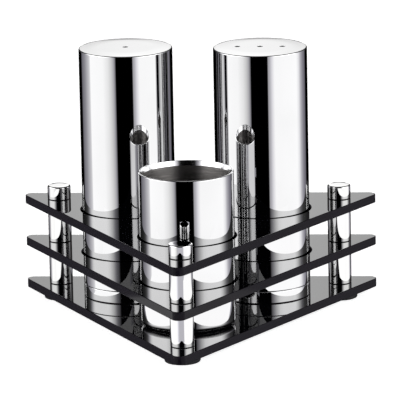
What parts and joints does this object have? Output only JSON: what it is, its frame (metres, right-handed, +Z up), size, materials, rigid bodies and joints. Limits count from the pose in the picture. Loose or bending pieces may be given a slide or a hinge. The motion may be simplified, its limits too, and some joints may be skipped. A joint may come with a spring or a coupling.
{
  "type": "condiment set",
  "caption": "Tiered triangular rack of flat plates on round posts, with lift-out cylindrical shakers that open at the base and a lift-out open cup for toothpicks.",
  "frame": {"origin": "on the table, at the middle of the whole set seen from above", "axes": "+Z up, -Y towards the rack's front corner, +X to the right as seen from the front"},
  "size_m": [0.1218, 0.1062, 0.0917],
  "materials": {
    "black_acrylic": "polished black sheet",
    "post_chrome": "bright chrome",
    "polished_steel": "mirror-polished stainless steel",
    "cup_steel": "mirror-polished outside, fine-brushed inside",
    "screw_steel": "zinc plated",
    "foot_rubber": "matt black",
    "seal_rubber": "matt black",
    "plug_plastic": "moulded, natural white"
  },
  "bodies": {
    "stand": {"base_plate": "black_acrylic", "middle_plate": "black_acrylic", "top_plate": "black_acrylic", "front_knob": "post_chrome", "front_upper_spacer": "post_chrome", "front_lower_spacer": "post_chrome", "front_screw": "screw_steel", "front_foot": "foot_rubber", "left_knob": "post_chrome", "left_upper_spacer": "post_chrome", "left_lower_spacer": "post_chrome", "left_screw": "screw_steel", "left_foot": "foot_rubber", "right_knob": "post_chrome", "right_upper_spacer": "post_chrome", "right_lower_spacer": "post_chrome", "right_screw": "screw_steel", "right_foot": "foot_rubber"},
    "salt_cap": {"salt_base_dish": "polished_steel", "salt_plug": "plug_plastic", "salt_seal": "seal_rubber"},
    "salt_shaker": {"salt_shell": "polished_steel"},
    "pepper_cap": {"pepper_base_dish": "polished_steel", "pepper_plug": "plug_plastic", "pepper_seal": "seal_rubber"},
    "pepper_shaker": {"pepper_shell": "polished_steel"},
    "cup": {"toothpick_cup": "cup_steel"}
  },
  "joints": [
    {"name": "salt_lift", "type": "slide", "parent": "stand", "child": "salt_cap", "axis": [0, 0, 1], "range_m": [0, 0.095]},
    {"name": "salt_open", "type": "slide", "parent": "salt_cap", "child": "salt_shaker", "axis": [0, 0, 1], "range_m": [0, 0.02]},
    {"name": "pepper_lift", "type": "slide", "parent": "stand", "child": "pepper_cap", "axis": [0, 0, 1], "range_m": [0, 0.095]},
    {"name": "pepper_open", "type": "slide", "parent": "pepper_cap", "child": "pepper_shaker", "axis": [0, 0, 1], "range_m": [0, 0.02]},
    {"name": "cup_lift", "type": "slide", "parent": "stand", "child": "cup", "axis": [0, 0, 1], "range_m": [0, 0.095]}
  ]
}
